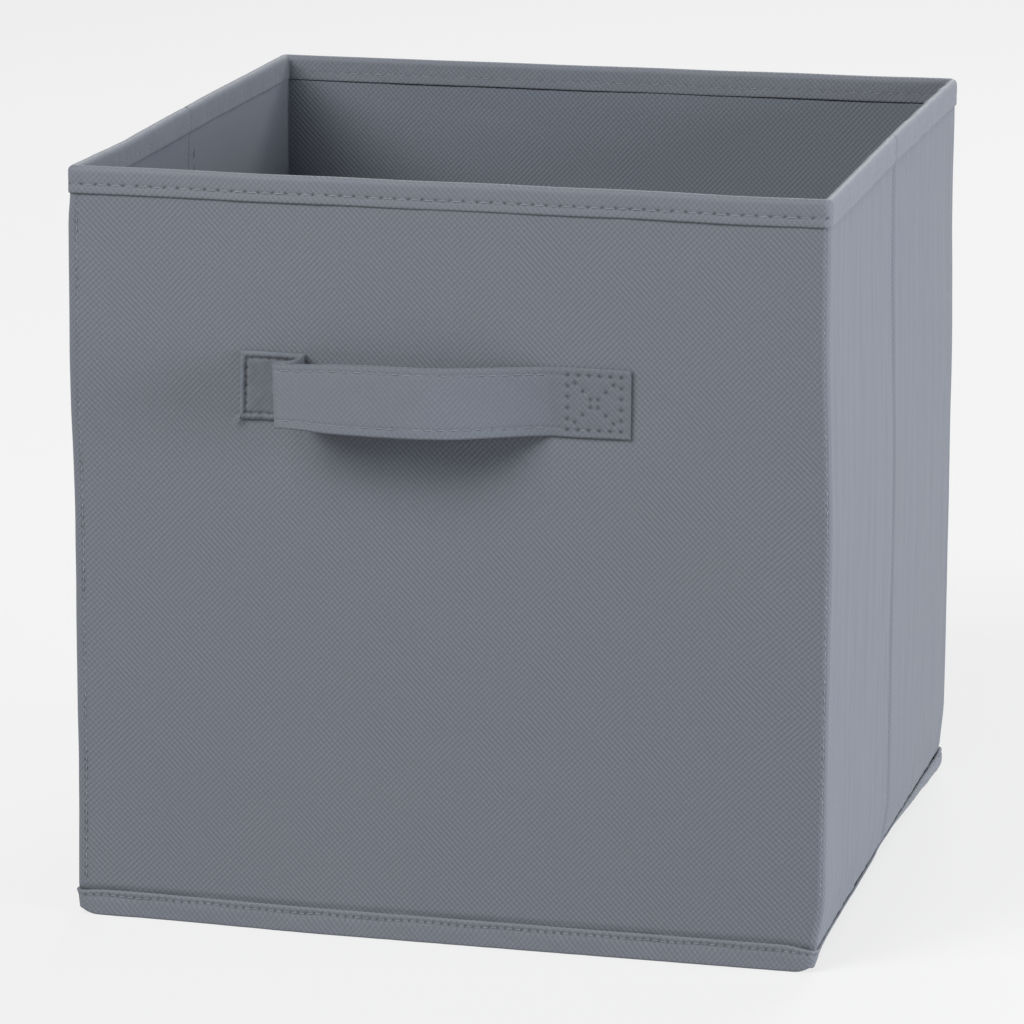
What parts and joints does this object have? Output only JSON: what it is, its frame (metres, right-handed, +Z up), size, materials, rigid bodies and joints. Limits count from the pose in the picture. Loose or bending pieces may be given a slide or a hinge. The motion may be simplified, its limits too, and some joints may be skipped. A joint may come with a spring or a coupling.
{
  "type": "fabric storage bin",
  "caption": "Open-top square fabric storage bin with card-stiffened walls that fold flat, a loose base board and a webbing strap handle on the front.",
  "frame": {"origin": "middle of the face that the bin stands on", "axes": "+Z up, -Y towards the front wall with the handle, +X to the right seen from the front"},
  "size_m": [0.2786, 0.3011, 0.28],
  "materials": {
    "cover_cloth": "non-woven polypropylene cloth, embossed with a fine staggered dot grid, matt",
    "lining_cloth": "the same non-woven cloth as the cover, matt",
    "binding": "folded strip of the same non-woven cloth, stitched",
    "strap": "strap of several layers of the non-woven cloth, stitched along its edges",
    "thread": "polyester sewing thread",
    "card": "solid grey cardboard"
  },
  "bodies": {
    "back_wall": {"back_bottom_band": "binding", "back_card": "card", "back_corner_thread": "thread", "back_cover": "cover_cloth", "back_lining": "lining_cloth", "back_rim_binding": "binding", "back_rim_thread": "thread", "bottom_sheet": "cover_cloth", "bottom_thread": "thread", "front_bottom_band": "binding", "left_bottom_band": "binding", "right_bottom_band": "binding"},
    "left_rear": {"left_crease_thread": "thread", "left_rear_card": "card", "left_rear_cover": "cover_cloth", "left_rear_lining": "lining_cloth", "left_rear_rim_binding": "binding", "left_rear_rim_thread": "thread"},
    "left_front": {"left_front_card": "card", "left_front_cover": "cover_cloth", "left_front_lining": "lining_cloth", "left_front_rim_binding": "binding", "left_front_rim_thread": "thread"},
    "front_wall": {"front_card": "card", "front_corner_thread": "thread", "front_cover": "cover_cloth", "front_lining": "lining_cloth", "front_rim_binding": "binding", "front_rim_thread": "thread", "handle_left_bend": "strap", "handle_left_tab": "strap", "handle_right_bend": "strap", "handle_right_tab": "strap", "handle_tab_thread": "thread"},
    "right_rear": {"right_crease_thread": "thread", "right_rear_card": "card", "right_rear_cover": "cover_cloth", "right_rear_lining": "lining_cloth", "right_rear_rim_binding": "binding", "right_rear_rim_thread": "thread"},
    "right_front": {"right_front_card": "card", "right_front_cover": "cover_cloth", "right_front_lining": "lining_cloth", "right_front_rim_binding": "binding", "right_front_rim_thread": "thread"},
    "base_board": {"base_card": "card", "base_lower_cover": "lining_cloth", "base_upper_cover": "lining_cloth"},
    "handle": {"handle_strap": "strap"}
  },
  "joints": [
    {"name": "right_rear_hinge", "type": "hinge", "parent": "back_wall", "child": "right_rear", "pos_m": [0.1344, 0.1344, 0.145], "axis": [0, 0, -1], "range_deg": [0, 88]},
    {"name": "right_crease", "type": "hinge", "parent": "right_rear", "child": "right_front", "pos_m": [0.139, 0, 0.145], "axis": [0, 0, 1], "range_deg": [0, 176]},
    {"name": "front_right_corner", "type": "hinge", "parent": "right_front", "child": "front_wall", "pos_m": [0.1344, -0.1344, 0.145], "axis": [0, 0, -1], "range_deg": [0, 88]},
    {"name": "left_rear_hinge", "type": "hinge", "parent": "back_wall", "child": "left_rear", "pos_m": [-0.1344, 0.1344, 0.145], "axis": [0, 0, 1], "range_deg": [0, 88]},
    {"name": "left_crease", "type": "hinge", "parent": "left_rear", "child": "left_front", "pos_m": [-0.139, 0, 0.145], "axis": [0, 0, -1], "range_deg": [0, 176]},
    {"name": "base_lift", "type": "slide", "parent": "back_wall", "child": "base_board", "axis": [0, 0, 1], "range_m": [0, 0.3]},
    {"name": "handle_lift", "type": "hinge", "parent": "front_wall", "child": "handle", "pos_m": [0, -0.138, 0.2035], "axis": [-1, 0, 0], "range_deg": [-20, 25], "stiffness_Nm_per_rad": 0.02, "deforming": ["handle_left_bend", "handle_right_bend"]}
  ],
  "couplings": [
    {"joint": "right_crease", "follows": "right_rear_hinge", "ratio": 2},
    {"joint": "front_right_corner", "follows": "right_rear_hinge", "ratio": 1},
    {"joint": "left_rear_hinge", "follows": "right_rear_hinge", "ratio": 1},
    {"joint": "left_crease", "follows": "right_rear_hinge", "ratio": 2}
  ]
}
